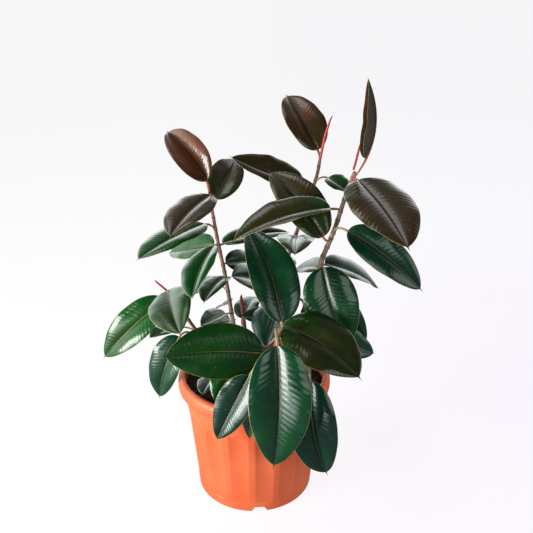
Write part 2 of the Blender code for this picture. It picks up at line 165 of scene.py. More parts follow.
# Leaves of each shoot, in the order of their names: height of the node in mm, the blade's base and tip
# in mm, width in mm, roll and fold in degrees, arch and sideways sway as shares of the length, and the
# shade from deep green 0 to copper 1. A shade near 0.28 gives a brighter green, which is painted light
# shining through the leaf from behind.
LEAF_ROWS = {
    "left": (
        (519, (-74, 26, 544), (-143, 94, 611), 72, -34, 43, 0.06, -0.01, 1),
        (506, (-61, 48, 508), (-32, 141, 554), 60, 20, 22, 0.06, 0, 0.55),
        (500, (-67, 12, 525), (-120, -92, 490), 69, 0, 6, 0.03, -0.05, 0.66),
        (462, (-79, 20, 475), (-173, -83, 451), 72, 0, 6, 0.02, -0.04, 0.3),
        (422, (-68, 60, 424), (-155, 117, 388), 54, -37, 14, 0.03, 0.01, 0.27),
        (434, (-65, 10, 440), (-91, -96, 393), 62, 24, 14, 0.03, -0.05, 0.22),
        (430, (-52, 51, 431), (64, 103, 432), 58, 6, 10, 0.05, 0, 0.5),
        (384, (-48, 61, 391), (13, 140, 362), 44, 50, 12, 0.04, 0, 0.12),
        (372, (-46, 21, 382), (-77, -62, 372), 42, 6, 14, 0.05, -0.04, 0.3),
        (348, (-73, 61, 354), (-114, 114, 319), 36, -43, 10, 0.03, 0.02, 0.15),
        (305, (-48, 21, 315), (-85, -53, 328), 38, -30, 8, 0.02, 0, 0.2),
        (312, (-44, 68, 314), (-68, 118, 280), 30, -20, 10, 0.02, 0, 0.14),
    ),
    "low_left": (
        (350, (-150, 19, 340), (-262, 14, 231), 64, -59, 18, 0.08, -0.01, 0.3),
        (366, (-136, -34, 381), (-103, -148, 360), 70, 25, 9, 0.04, -0.01, 0.36),
        (292, (-125, 2, 300), (-168, -50, 305), 36, 0, 8, 0.03, -0.02, 0.18),
        (276, (-125, -9, 286), (-165, -8, 165), 60, -64, 15, 0.08, -0.02, 0.12),
        (222, (-61, -20, 223), (-81, -94, 226), 38, 8, 8, 0.05, -0.03, 0.05),
    ),
    "back": (
        (262, (-23, 90, 272), (-1, 176, 277), 44, 0, 15, 0.06, 0.01, 0.14),
        (240, (-48, 108, 250), (-78, 190, 165), 56, -10, 12, 0.1, 0, 0.1),
    ),
    "front": (
        (320, (45, -72, 346), (-13, 36, 465), 82, -8, 22, 0.1, -0.03, 0.1),
        (312, (49, -30, 317), (168, -116, 266), 100, 24, 4, 0.05, 0.06, 0.46),
        (300, (37, -137, 338), (31, -173, 143), 97, -10, 18, 0.05, 0.03, 0.11),
        (278, (15, -48, 276), (-137, -129, 314), 88, -70, -6, -0.03, -0.03, 0.24),
        (262, (-5, -137, 286), (-57, -147, 176), 56, -60, 18, 0.01, -0.01, 0),
        (238, (-30, -58, 256), (-63, -92, 212), 52, -30, 10, 0.05, 0, 0.24),
        (254, (14, -131, 264), (-5, -140, 172), 38, -18, 18, 0.07, -0.03, 0.05),
    ),
    "low_right": (
        (258, (88, -111, 263), (120, -128, 97), 80, 62, 24, 0.09, -0.05, 0),
        (268, (126, 22, 283), (215, 52, 220), 47, 70, 15, 0.06, -0.03, 0.1),
    ),
    "right": (
        (548, (175, 27, 580), (178, 85, 700), 44, -72, 66, -0.125, 0, 0.78),
        (540, (163, 3, 552), (219, -145, 490), 100, 5, 6, 0.02, 0.03, 0.67),
        (492, (120, -7, 510), (-36, -39, 463), 70, -13, 20, 0.07, -0.03, 0.52),
        (446, (112, 9, 457), (24, 97, 542), 74, -28, 22, 0.09, -0.01, 0.56),
        (456, (149, -12, 474), (272, -23, 374), 64, 50, 14, 0.08, 0.01, 0.04),
        (396, (114, 18, 400), (159, -22, 266), 88, 50, 6, 0.02, -0.03, 0.14),
        (386, (121, 55, 392), (225, 104, 323), 66, 18, 15, 0.05, 0, 0.12),
        (372, (113, 61, 382), (75, 142, 349), 44, -28, 10, 0.03, -0.02, 0.14),
        (330, (48, 48, 333), (20, -32, 274), 86, 28, 14, 0.05, 0, 0),
        (290, (63, 72, 281), (-27, 44, 299), 50, -22, 8, 0.02, 0.01, 0.1),
        (330, (144, 55, 332), (195, 73, 212), 46, 90, 18, 0.08, 0.01, 0.1),
    ),
    "middle": (
        (546, (108, 122, 573), (55, 207, 653), 70, -18, 22, 0.09, 0.02, 0.74),
        (506, (84, 122, 515), (-43, 115, 564), 67, -28, 16, 0, 0.02, 0.62),
        (522, (125, 98, 531), (158, 74, 512), 46, 10, 12, 0.04, -0.01, 0.3),
        (424, (72, 84, 430), (66, -11, 432), 62, 0, 12, 0.07, 0, 0.3),
        (342, (20, 71, 348), (-37, -18, 399), 56, -50, 10, 0.02, -0.03, 0.12),
        (330, (50, 135, 345), (20, 235, 330), 74, 6, 12, 0.08, 0, 0.12),
        (262, (112, 112, 275), (150, 215, 240), 76, -6, 12, 0.08, 0, 0.1),
    ),
}
LEAVES = {f"{shoot}_{i}": (shoot, *row) for shoot, rows in LEAF_ROWS.items() for i, row in enumerate(rows, 1)}

# Blade detail
VEIN_PAIRS = 22
ROWS_PER_VEIN = 4
VEIN_LEAN = 0.42
VEIN_RELIEF = 0.1 * MM
HALF_COLUMNS = (0, 0.02, 0.05, 0.09, 0.15, 0.23, 0.32, 0.42, 0.52)
HALF_COLUMNS += (0.62, 0.72, 0.81, 0.88, 0.935, 0.97, 0.99, 1)
BLADE_THICKNESS = 0.9 * MM
BLADE_CROWN = 0.4
MARGIN_CURL = 0.05
SHEATH_HOOK = 2.0 * MM
CHANNEL_DEPTH = 0.55 * MM
CHANNEL_WIDTH = 2.4 * MM
RIB_SIDES = 12

# Studio
BACKDROP_WAY = (-0.42, 0.9, 0.0)
BACKDROP_LIGHT = 0.98
ROOM_LIGHT = 0.05
BACKDROP_SHEEN = 1.5
FLOOR_LIGHT = 0.9
FLOOR_BOUNCE = 0.38
FLOOR_SHEEN = (0.12, 0.9)
POOL_PLACE = (-1.05, -1.25, 0.0)
POOL_SHEEN = 7.0
FLOOR_RADIUS = 60.0
CAMERA_PLACE = (0.021, -1.05, 0.831)
CAMERA_DIP = 21.9
CAMERA_LENS = 47.28
VIEW_GAMMA = 0.9

# Soft boxes: place, the point that each faces, size in metres, power and colour
SOFT_BOXES = {
    "window_left": ((-1.75, -1.1, 0.3), (0, 0, 0.24), (1.1, 1.1), 66.0, (1.0, 0.99, 0.97)),
    "front_fill": ((0.9, -2.2, 1.3), (0, 0, 0.25), (1.6, 1.2), 15.0, (1.0, 0.98, 0.97)),
    "top_light": ((-0.8, 0.3, 2.3), (0, 0, 0.35), (1.0, 1.0), 9.0, (0.98, 0.99, 1.0)),
    "right_card": ((2.0, -0.3, 0.6), (0, 0, 0.35), (1.3, 1.3), 9.0, (0.96, 0.98, 1.0)),
}


# Meshes


def clear_old():
    for obj in list(bpy.data.objects):
        if obj.type in ("CAMERA", "LIGHT") or obj.name == "Cube":
            bpy.data.objects.remove(obj, do_unlink=True)


def skin(rings):
    """Points and faces of a closed skin through rings, an array of rings x points x 3."""
    rings = np.asarray(rings, float)
    count, around = rings.shape[:2]
    low = np.arange((count - 1) * around).reshape(count - 1, around)
    right = np.roll(low, -1, axis=1)
    faces = np.stack((low, right, right + around, low + around), axis=-1).reshape(-1, 4).tolist()
    faces.append(list(range(around))[::-1])
    faces.append(list(range((count - 1) * around, count * around)))
    return rings.reshape(-1, 3), faces


def ring(radius, turns, height):
    """Points round the upright axis."""
    return np.stack(np.broadcast_arrays(radius * np.cos(turns), radius * np.sin(turns), height), axis=1)


def join(parts):
    """One list of points and one of faces from several (points, faces) pairs."""
    points, faces, start = [], [], 0
    for part_points, part_faces in parts:
        points.append(part_points)
        faces += [[i + start for i in face] for face in part_faces]
        start += len(part_points)
    return np.vstack(points), faces


def make_piece(name, points, faces, materials, kinds=None, values=None, smooth_under=60.0):
    """A mesh object. kinds is each face's material, and values holds a number per point under each name."""
    mesh = bpy.data.meshes.new(name)
    mesh.from_pydata(np.asarray(points).tolist(), [], faces)
    for material in materials:
        mesh.materials.append(material)
    if kinds is not None:
        mesh.polygons.foreach_set("material_index", np.asarray(kinds, np.int32))
    for key, numbers in (values or {}).items():
        mesh.attributes.new(key, "FLOAT", "POINT").data.foreach_set("value", np.asarray(numbers, np.float32))
    mesh.shade_smooth()
    mesh.set_sharp_from_angle(angle=radians(smooth_under))
    mesh.validate()
    piece = bpy.data.objects.new(name, mesh)
    bpy.context.scene.collection.objects.link(piece)
    return piece


def stand_for(piece, node):
    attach(piece, "root")
    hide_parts(node)


def unit(v):
    return v / np.maximum(np.linalg.norm(v, axis=-1, keepdims=True), 1e-12)


def curve_through(points, step):
    """Points about step apart on a smooth curve through the given points."""
    points = [np.array(p, float) for p in points]
    ends = [2 * points[0] - points[1], *points, 2 * points[-1] - points[-2]]
    path = [points[0]]
    for a, b, c, d in zip(ends, ends[1:], ends[2:], ends[3:]):
        pieces = max(1, round(float(np.linalg.norm(c - b)) / step))
        for k in range(1, pieces + 1):
            t = k / pieces
            smooth = b * 2 + (c - a) * t + (a * 2 - b * 5 + c * 4 - d) * t * t
            path.append((smooth + (b * 3 - a - c * 3 + d) * t**3) / 2)
    return np.array(path)


def directions(path):
    steps = unit(np.diff(path, axis=0))
    middle = unit(steps[:-1] + steps[1:])
    return np.vstack((steps[:1], middle, steps[-1:]))


def tube(path, radii, sides, first_side=(1.0, 0.0, 0.0), along=None):
    """Rings square to a path. radii is one number per ring, or rings x sides."""
    along = directions(path) if along is None else along
    radii = np.asarray(radii, float)
    radii = radii[:, None] * np.ones(sides) if radii.ndim == 1 else radii
    turns = 2 * pi * np.arange(sides) / sides
    side = np.array(first_side, float)
    rings = []
    for centre, way, radius in zip(path, along, radii):
        side = unit(side - way * (side @ way))
        circle = np.outer(np.cos(turns), side) + np.outer(np.sin(turns), np.cross(way, side))
        rings.append(centre + circle * radius[:, None])
    return np.array(rings)


# Materials


def new_material(name):
    """A Principled material, its node tree and its shader."""
    material = bpy.data.materials.new(name)
    material.use_nodes = True
    tree = material.node_tree
    return material, tree, tree.nodes["Principled BSDF"]


def put(tree, kind, **settings):
    """Adds a shader node of a kind and sets its own properties."""
    node = tree.nodes.new("ShaderNode" + kind)
    for key, value in settings.items():
        setattr(node, key, value)
    return node


def feed(tree, value, socket):
    """Links value to socket if it is a socket, or sets it there."""
    if isinstance(value, bpy.types.NodeSocket):
        tree.links.new(value, socket)
    else:
        socket.default_value = value


def calc(tree, operation, a, b=0.0, c=0.0, clamp=False):
    node = put(tree, "Math", operation=operation, use_clamp=clamp)
    for value, socket in zip((a, b, c), node.inputs):
        feed(tree, value, socket)
    return node.outputs[0]


def times(tree, a, b):
    return calc(tree, "MULTIPLY", a, b)


def plus(tree, a, b, clamp=False):
    return calc(tree, "ADD", a, b, clamp=clamp)


def times_plus(tree, a, b, c):
    return calc(tree, "MULTIPLY_ADD", a, b, c)


def spread(tree, value, low, high, to_low=0.0, to_high=1.0):
    """Maps value from low..high to to_low..to_high with a smooth step, clamped."""
    node = put(tree, "MapRange", interpolation_type="SMOOTHSTEP", clamp=True)
    for number, socket in zip((value, low, high, to_low, to_high), node.inputs):
        feed(tree, number, socket)
    return node.outputs[0]


def blend(tree, share, first, second):
    node = put(tree, "Mix", data_type="RGBA")
    feed(tree, share, node.inputs["Factor"])
    colours = [s for s in node.inputs if s.type == "RGBA"]
    for value, socket in zip((first, second), colours):
        feed(tree, value if isinstance(value, bpy.types.NodeSocket) else (*value, 1.0), socket)
    return [s for s in node.outputs if s.type == "RGBA"][0]


def ramp(tree, share, stops):
    node = put(tree, "ValToRGB")
    elements = node.color_ramp.elements
    while len(elements) < len(stops):
        elements.new(0.5)
    for element, (place, colour) in zip(elements, stops):
        element.position = place
        element.color = (*colour, 1.0)
    feed(tree, share, node.inputs[0])
    return node.outputs[0]


def number_of(tree, key):
    """The pieces' own number called key."""
    return put(tree, "Attribute", attribute_name=key).outputs["Fac"]


def place_in_object(tree):
    return put(tree, "TexCoord").outputs["Object"]


def noise(tree, scale, detail=3.0, roughness=0.5, stretch=None):
    where = place_in_object(tree)
    if stretch:
        mapping = put(tree, "Mapping")
        feed(tree, where, mapping.inputs["Vector"])
        feed(tree, stretch, mapping.inputs["Scale"])
        where = mapping.outputs[0]
    node = put(tree, "TexNoise")
    for value, key in ((where, "Vector"), (scale, "Scale"), (detail, "Detail"), (roughness, "Roughness")):
        feed(tree, value, node.inputs[key])
    return node.outputs["Fac"]


def cells(tree, scale, feature="F1"):
    node = put(tree, "TexVoronoi", feature=feature)
    feed(tree, place_in_object(tree), node.inputs["Vector"])
    feed(tree, scale, node.inputs["Scale"])
    return node.outputs


def new_group(name, inputs, outputs):
    """A shared shader group of numbers. Each input comes with its usual value."""
    group = bpy.data.node_groups.new(name, "ShaderNodeTree")
    for label, value in inputs.items():
        socket = group.interface.new_socket(name=label, in_out="INPUT", socket_type="NodeSocketFloat")
        socket.default_value = value
    for label in outputs:
        group.interface.new_socket(name=label, in_out="OUTPUT", socket_type="NodeSocketFloat")
    return group, group.nodes.new("NodeGroupInput").outputs, group.nodes.new("NodeGroupOutput").inputs


def use_group(tree, name, **values):
    """Places a shared group and sets its inputs. An underscore stands for a space."""
    node = put(tree, "Group")
    node.node_tree = bpy.data.node_groups[name]
    for key, value in values.items():
        feed(tree, value, node.inputs[key.replace("_", " ")])
    return node.outputs


def surface(tree, shader, colour, roughness, height, strength, depth):
    """Feeds the shader its colour, its roughness and a bump, whose depth is in mm."""
    node = put(tree, "Bump")
    for value, key in ((strength, "Strength"), (depth * MM, "Distance"), (height, "Height")):
        feed(tree, value, node.inputs[key])
    for value, key in ((colour, "Base Color"), (roughness, "Roughness"), (node.outputs["Normal"], "Normal")):
        feed(tree, value, shader.inputs[key])


def vein_group():
    """Side veins that leave the midrib, finer ones between them, and the net between those."""
    inputs = {"Fineness": 3.0, "Net scale": 900.0, "Wander": 0.18}
    group, given, out = new_group("side_veins", inputs, ("Lines", "Height"))
    vein, across = number_of(group, "vein"), number_of(group, "across")
    wander = times(group, calc(group, "SUBTRACT", noise(group, 55.0, 2.0), 0.5), given["Wander"])
    place = plus(group, vein, wander)
    strong = calc(group, "PINGPONG", place, 0.5)
    fine = calc(group, "PINGPONG", times(group, place, given["Fineness"]), 0.5)
    strong_line = spread(group, strong, 0.0, 0.1, 1.0, 0.0)
    fine_line = spread(group, fine, 0.0, 0.22, 1.0, 0.0)
    reach = spread(group, calc(group, "ABSOLUTE", across), 0.82, 0.97, 1.0, 0.25)
    all_lines = calc(group, "MAXIMUM", strong_line, times(group, fine_line, 0.45))
    lines = times(group, all_lines, reach)
    net = cells(group, given["Net scale"], "DISTANCE_TO_EDGE")
    net_line = spread(group, net["Distance"], 0.0, 0.12, 1.0, 0.0)
    feed(group, lines, out["Lines"])
    feed(group, plus(group, lines, times(group, net_line, 0.16)), out["Height"])


def dust_group():
    """Pale specks of dust and dried water spots."""
    group, given, out = new_group("dust_specks", {"Scale": 150.0, "Share": 0.1}, ("Mask", "Film"))
    spot = cells(group, given["Scale"])
    near = spread(group, spot["Distance"], 0.05, 0.16, 1.0, 0.0)
    chosen = put(group, "SeparateColor")
    feed(group, spot["Color"], chosen.inputs[0])
    kept = calc(group, "LESS_THAN", chosen.outputs[0], given["Share"])
    feed(group, times(group, near, kept), out["Mask"])
    feed(group, spread(group, noise(group, 38.0, 5.0, 0.65), 0.45, 0.75), out["Film"])


def grain_group():
    """Fine moulded or waxy grain: a height, and a patchy mask for the roughness."""
    inputs = {"Scale": 1500.0, "Patch scale": 25.0}
    group, given, out = new_group("surface_grain", inputs, ("Height", "Patches"))
    feed(group, noise(group, given["Scale"], 2.0), out["Height"])
    feed(group, noise(group, given["Patch scale"], 4.0), out["Patches"])


# Leaf colours by shade. The bright green stop at 0.28 is painted light: it stands for light shining through
# leaves that are lit from behind on the left.
GREENS_TO_COPPER = (
    (0, (0.0012, 0.04, 0.024)),
    (0.14, (0.0026, 0.068, 0.023)),
    (0.28, (0.009, 0.115, 0.011)),
    (0.44, (0.02, 0.046, 0.005)),
    (0.62, (0.044, 0.032, 0.006)),
    (0.78, (0.06, 0.03, 0.009)),
    (1, (0.17, 0.062, 0.029)),
)
UNDERSIDES = (
    (0, (0.05, 0.13, 0.05)),
    (0.36, (0.07, 0.13, 0.045)),
    (0.62, (0.05, 0.045, 0.02)),
    (0.8, (0.034, 0.026, 0.014)),
    (1, (0.22, 0.08, 0.045)),
)
OLD_RIB = (
    (0, (0.48, 0.32, 0.17)),
    (0.42, (0.52, 0.4, 0.2)),
    (0.56, (0.4, 0.23, 0.11)),
    (0.85, (0.23, 0.13, 0.055)),
    (1, (0.09, 0.1, 0.04)),
)
YOUNG_RIB = (
    (0, (0.42, 0.09, 0.07)),
    (0.45, (0.45, 0.13, 0.09)),
    (0.62, (0.26, 0.085, 0.05)),
    (0.85, (0.09, 0.045, 0.025)),
    (1, (0.06, 0.04, 0.02)),
)


def leaf_upper():
    material, tree, shader = new_material("leaf_upper")
    shade, along, across = number_of(tree, "shade"), number_of(tree, "along"), number_of(tree, "across")
    veins = use_group(tree, "side_veins", Fineness=3.0, Net_scale=900.0, Wander=0.16)
    dust = use_group(tree, "dust_specks", Scale=170.0, Share=0.05)
    grain = use_group(tree, "surface_grain", Scale=2200.0, Patch_scale=28.0)
    patch = times(tree, calc(tree, "SUBTRACT", grain["Patches"], 0.5), 0.34)
    bronze = times(tree, shade, spread(tree, along, 0.0, 0.55, -0.2, 0.1))
    tone = plus(tree, plus(tree, shade, patch), bronze, clamp=True)
    # Shades near 0.28 take the brighter green of painted backlight.
    colour = ramp(tree, tone, GREENS_TO_COPPER)
    pale_line = times(tree, veins["Lines"], 0.07)
    colour = blend(tree, pale_line, colour, (0.12, 0.19, 0.07))
    colour = blend(tree, times(tree, dust["Film"], 0.05), colour, (0.35, 0.42, 0.36))
    colour = blend(tree, times(tree, dust["Mask"], 0.55), colour, (0.62, 0.66, 0.58))
    margin = spread(tree, number_of(tree, "margin"), 0.3, 0.95, 0.95, 0.0)
    margin = times(tree, margin, spread(tree, along, 0.9, 0.97, 1.0, 0.1))
    pale_edge = blend(tree, shade, (0.46, 0.46, 0.18), (0.26, 0.17, 0.08))
    colour = blend(tree, margin, colour, pale_edge)
    rough = times_plus(tree, grain["Patches"], 0.12, 0.13)
    rough = times_plus(tree, veins["Lines"], 0.05, rough)
    rough = times_plus(tree, dust["Mask"], 0.35, rough)
    height = times_plus(tree, grain["Height"], 0.1, times(tree, veins["Height"], -1.0))
    surface(tree, shader, colour, rough, height, 0.35, 0.22)
    shader.inputs["IOR"].default_value = 1.47
    shader.inputs["Coat Weight"].default_value = 0.4
    shader.inputs["Coat Roughness"].default_value = 0.13
    return material


def leaf_under():
    material, tree, shader = new_material("leaf_under")
    shade = number_of(tree, "shade")
    veins = use_group(tree, "side_veins", Fineness=3.0, Net_scale=700.0, Wander=0.16)
    grain = use_group(tree, "surface_grain", Scale=1600.0, Patch_scale=22.0)
    patch = times(tree, calc(tree, "SUBTRACT", grain["Patches"], 0.5), 0.3)
    tone = plus(tree, shade, patch, clamp=True)
    colour = ramp(tree, tone, UNDERSIDES)
    pale_veins = blend(tree, shade, (0.24, 0.32, 0.13), (0.13, 0.1, 0.055))
    colour = blend(tree, times(tree, veins["Lines"], 0.35), colour, pale_veins)
    margin = spread(tree, number_of(tree, "margin"), 0.35, 1.1, 1.0, 0.0)
    colour = blend(tree, margin, colour, (0.5, 0.47, 0.22))
    rough = times_plus(tree, grain["Patches"], 0.2, 0.38)
    height = times_plus(tree, grain["Height"], 0.2, veins["Height"])
    surface(tree, shader, colour, rough, height, 0.45, 0.25)
    return material


def leaf_rib():
    """Petiole and midrib: red or tan at the shoot, tan to brown-green towards the tip."""
    material, tree, shader = new_material("leaf_rib")
    shade, along = number_of(tree, "shade"), number_of(tree, "along")
    grain = use_group(tree, "surface_grain", Scale=1300.0, Patch_scale=90.0)
    place = spread(tree, along, -1.0, 1.0, 0.0, 1.0)
    old, young = ramp(tree, place, OLD_RIB), ramp(tree, place, YOUNG_RIB)
    colour = blend(tree, spread(tree, shade, 0.3, 0.7), old, young)
    dull = spread(tree, grain["Patches"], 0.42, 0.72, 0.0, 0.35)
    colour = blend(tree, dull, colour, (0.12, 0.07, 0.035))
    surface(tree, shader, colour, times_plus(tree, grain["Patches"], 0.2, 0.3), grain["Height"], 0.25, 0.2)
    return material


OLD_BARK = ((0, (0.4, 0.3, 0.21)), (0.6, (0.45, 0.35, 0.25)), (1, (0.29, 0.22, 0.145)))
FRESH_BARK = ((0, (0.4, 0.26, 0.18)), (0.5, (0.38, 0.235, 0.175)), (1, (0.34, 0.125, 0.09)))
SHEATH_FRESH = (
    (0, (0.44, 0.13, 0.08)),
    (0.3, (0.64, 0.055, 0.05)),
    (0.88, (0.56, 0.04, 0.045)),
    (0.96, (0.06, 0.02, 0.012)),
)
SHEATH_DULL = ((0, (0.26, 0.11, 0.06)), (0.5, (0.34, 0.085, 0.05)), (1, (0.2, 0.04, 0.04)))


def bark():
    """Bark that goes from grey-tan at the foot to pinkish green-tan at the top, with dark leaf scars."""
    material, tree, shader = new_material("bark")
    along, scar, pink = number_of(tree, "along"), number_of(tree, "scar"), number_of(tree, "pink")
    grain = use_group(tree, "surface_grain", Scale=900.0, Patch_scale=110.0)
    fissures = noise(tree, 160.0, 6.0, 0.65, stretch=(1.0, 1.0, 0.22))
    colour = blend(tree, pink, ramp(tree, along, OLD_BARK), ramp(tree, along, FRESH_BARK))
    colour = blend(tree, spread(tree, fissures, 0.48, 0.72, 0.0, 0.5), colour, (0.17, 0.11, 0.07))
    pores = spread(tree, cells(tree, 420.0)["Distance"], 0.08, 0.2, 1.0, 0.0)
    colour = blend(tree, times(tree, pores, 0.5), colour, (0.48, 0.4, 0.3))
    colour = blend(tree, times(tree, scar, 0.65), colour, (0.1, 0.06, 0.04))
    rough = times_plus(tree, grain["Patches"], 0.25, 0.48)
    height = times_plus(tree, fissures, 1.2, times(tree, pores, 0.5))
    surface(tree, shader, colour, rough, height, 0.5, 0.4)
    return material


def sheath_red():
    material, tree, shader = new_material("sheath_red")
    along, brown = number_of(tree, "along"), number_of(tree, "brown")
    grain = use_group(tree, "surface_grain", Scale=1600.0, Patch_scale=70.0)
    colour = blend(tree, brown, ramp(tree, along, SHEATH_FRESH), ramp(tree, along, SHEATH_DULL))
    streaks = noise(tree, 240.0, 3.0, stretch=(1.0, 1.0, 0.12))
    colour = blend(tree, spread(tree, streaks, 0.45, 0.7, 0.0, 0.4), colour, (0.22, 0.03, 0.03))
    rough = times_plus(tree, grain["Patches"], 0.2, 0.25)
    surface(tree, shader, colour, rough, plus(tree, streaks, grain["Height"]), 0.25, 0.2)
    return material


TERRACOTTA = ((0.3, (0.89, 0.168, 0.06)), (0.5, (0.925, 0.198, 0.076)), (0.7, (0.95, 0.232, 0.096)))


def pot_plastic():
    """Terracotta-coloured moulded plastic, slightly chalky, scuffed at the foot and flecked with dark soil
    specks all over.
    """
    material, tree, shader = new_material("pot_plastic")
    grain = use_group(tree, "surface_grain", Scale=1400.0, Patch_scale=16.0)
    dust = use_group(tree, "dust_specks", Scale=110.0, Share=0.06)
    colour = ramp(tree, grain["Patches"], TERRACOTTA)
    height_up = put(tree, "SeparateXYZ")
    feed(tree, place_in_object(tree), height_up.inputs[0])
    foot = spread(tree, height_up.outputs[2], 0.0, 0.03, 1.0, 0.0)
    scuffs = spread(tree, noise(tree, 90.0, 6.0, 0.7, stretch=(1.0, 1.0, 2.6)), 0.52, 0.7)
    worn = times(tree, scuffs, times_plus(tree, foot, 0.28, 0.05))
    colour = blend(tree, worn, colour, (0.8, 0.42, 0.28))
    soil_marks = times(tree, dust["Mask"], 0.35)
    colour = blend(tree, soil_marks, colour, (0.32, 0.09, 0.04))
    rough = times_plus(tree, worn, 0.4, times_plus(tree, grain["Patches"], 0.18, 0.34))
    surface(tree, shader, colour, rough, grain["Height"], 0.18, 0.18)
    shader.inputs["Subsurface Weight"].default_value = 0.12
    shader.inputs["Subsurface Radius"].default_value = (0.004, 0.0015, 0.0006)
    shader.inputs["Subsurface Scale"].default_value = 1.0
    return material


PEAT_TO_CHIPS = (
    (0, (0.009, 0.005, 0.003)),
    (0.45, (0.028, 0.014, 0.008)),
    (0.75, (0.095, 0.036, 0.018)),
    (0.92, (0.21, 0.08, 0.038)),
    (1, (0.34, 0.2, 0.11)),
)


def potting_mix():
    material, tree, shader = new_material("potting_mix")
    grain = use_group(tree, "surface_grain", Scale=700.0, Patch_scale=140.0)
    base = ramp(tree, number_of(tree, "tint"), PEAT_TO_CHIPS)
    fibre = noise(tree, 520.0, 5.0, 0.7)
    colour = blend(tree, spread(tree, fibre, 0.35, 0.62, 0.65, 0.0), base, (0.006, 0.004, 0.003))
    rough = times_plus(tree, grain["Patches"], 0.25, 0.68)
    surface(tree, shader, colour, rough, plus(tree, fibre, grain["Height"]), 0.7, 0.8)
    return material


# Pot and potting mix


def wall_radius(z):
    return FOOT_RADIUS + (FLUTE_TOP_RADIUS - FOOT_RADIUS) * z / FLUTE_TO


def pot_profile():
    """(radius, height, share of the flutes' depth) from the pad's middle, out and up, then down inside."""
    band = wall_radius(BAND_TOP)
    points = [(CLOSING_RADIUS, 0.0, 0), (PAD_RADIUS - 0.0008, 0.0, 0), (PAD_RADIUS, 0.0006, 0)]
    points += [(0.0272, 0.012, 0), (0.0285, FLOOR_UNDERSIDE, 0), (0.0915, FLOOR_UNDERSIDE, 0)]
    points += [(0.0925, 0.0124, 0), (FOOT_RADIUS - 0.0036, 0.0005, 0), (FOOT_RADIUS - 0.003, 0.0, 0)]
    points += [(FOOT_RADIUS - 0.0006, 0.0, 0), (FOOT_RADIUS + 0.0001, 0.0007, 0)]
    points += [(wall_radius(z), z, 0) for z in (0.0075, 0.0146)]
    points += [(wall_radius(0.015) - 0.0003, 0.0152, 0), (wall_radius(FLUTE_FROM) - 0.0005, 0.0158, 0)]
    for z in np.linspace(FLUTE_FROM, FLUTE_TO - 0.0012, 40):
        climb = (z - FLUTE_FROM) / (FLUTE_TO - FLUTE_FROM)
        points.append((wall_radius(z) - 0.0002, z, FLUTE_FOOT_SHARE + (1 - FLUTE_FOOT_SHARE) * climb))
    points += [(wall_radius(FLUTE_TO) - 0.0001, FLUTE_TO - 0.0005, 0.55)]
    points += [(wall_radius(z), z, 0) for z in (FLUTE_TO, 0.164, 0.172)]
    points += [(wall_radius(z) + 0.0004, z, 0) for z in (0.1725, 0.18)]
    points += [(band + step, z, 0) for step, z in BAND_PROFILE]
    points += [(RIM_RADIUS - step, z, 0) for step, z in RIM_PROFILE]
    return points + [(radius, z, 0) for radius, z in INSIDE_PROFILE]


def flute_share(offset):
    """How deep a flute is at an angle from its middle, as a share of its greatest depth."""
    return max(0.0, 1 - (offset / FLUTE_HALF_ANGLE) ** 2)


def pot_columns():
    """(angle, share of a flute's depth) round the pot, closer together at the flutes' edges."""
    inside = (0.0, 1.5, 3.0, 4.5, 6.0, 7.2, 8.0, FLUTE_HALF_ANGLE)
    offsets = (*(-angle for angle in inside[:0:-1]), *inside, 8.75, 10.0, 11.25, 12.5, 13.75)
    flutes = [FLUTE_TURN + i * 360 / FLUTES for i in range(FLUTES)]
    return [(middle + offset, flute_share(offset)) for middle in flutes for offset in offsets]


def make_pot(material):
    columns = pot_columns()
    angles = np.radians([c[0] for c in columns])
    shares = np.array([c[1] for c in columns])
    rings = []
    for radius, height, fluted in pot_profile():
        r = radius - FLUTE_DEPTH * shares * fluted
        rings.append(ring(r, angles, height))
    pot = make_piece("pot_shell", *skin(rings), [material], smooth_under=38.0)
    blocks = [notch_block(NOTCH_TURN + k * 360 / NOTCHES) for k in range(NOTCHES)]
    plugs = [drain_plug(360 * k / DRAIN_HOLES) for k in range(DRAIN_HOLES)]
    cutter = make_piece("pot_cutter", *join(blocks + plugs), [material])
    modifier = pot.modifiers.new("cut", "BOOLEAN")
    modifier.operation = "DIFFERENCE"
    modifier.solver = "EXACT"
    modifier.object = cutter
    graph = bpy.context.evaluated_depsgraph_get()
    cut_mesh = bpy.data.meshes.new_from_object(pot.evaluated_get(graph))
    pot.modifiers.clear()
    pot.data = cut_mesh
    cut_mesh.shade_smooth()
    cut_mesh.set_sharp_from_angle(angle=radians(30))
    bpy.data.objects.remove(cutter, do_unlink=True)
    stand_for(pot, "pot")


def notch_block(angle):
    """A tapered block with softened upper corners across the foot ring."""
    out = np.array((cos(radians(angle)), sin(radians(angle)), 0.0))
    side = np.array((-out[1], out[0], 0.0))
    half_top, half_foot = NOTCH_TOP_WIDTH / 2, NOTCH_FOOT_WIDTH / 2 + 0.002
    corner = (half_top + 0.0008, NOTCH_HEIGHT - 0.0014)
    right = [(half_foot, -0.003), corner, (half_top - 0.0006, NOTCH_HEIGHT)]
    outline = right + [(-across, z) for across, z in reversed(right)]
    return skin([[out * r + side * across + UP * z for across, z in outline] for r in (NOTCH_FROM, NOTCH_TO)])


def drain_plug(angle):
    centre = np.array((cos(radians(angle)), sin(radians(angle)), 0.0)) * DRAIN_CIRCLE
    path = np.array([centre + UP * z for z in (FLOOR_UNDERSIDE - 0.002, FLOOR_TOP + 0.002)])
    return skin(tube(path, [DRAIN_RADIUS, DRAIN_RADIUS], 32))


def soil_height(x, y):
    hollows = 0.0016 * np.sin(62 * x + 0.4) * np.cos(55 * y - 0.7)
    return SOIL_LEVEL + hollows - 0.0009 * np.sin(90 * x * y / 0.1)


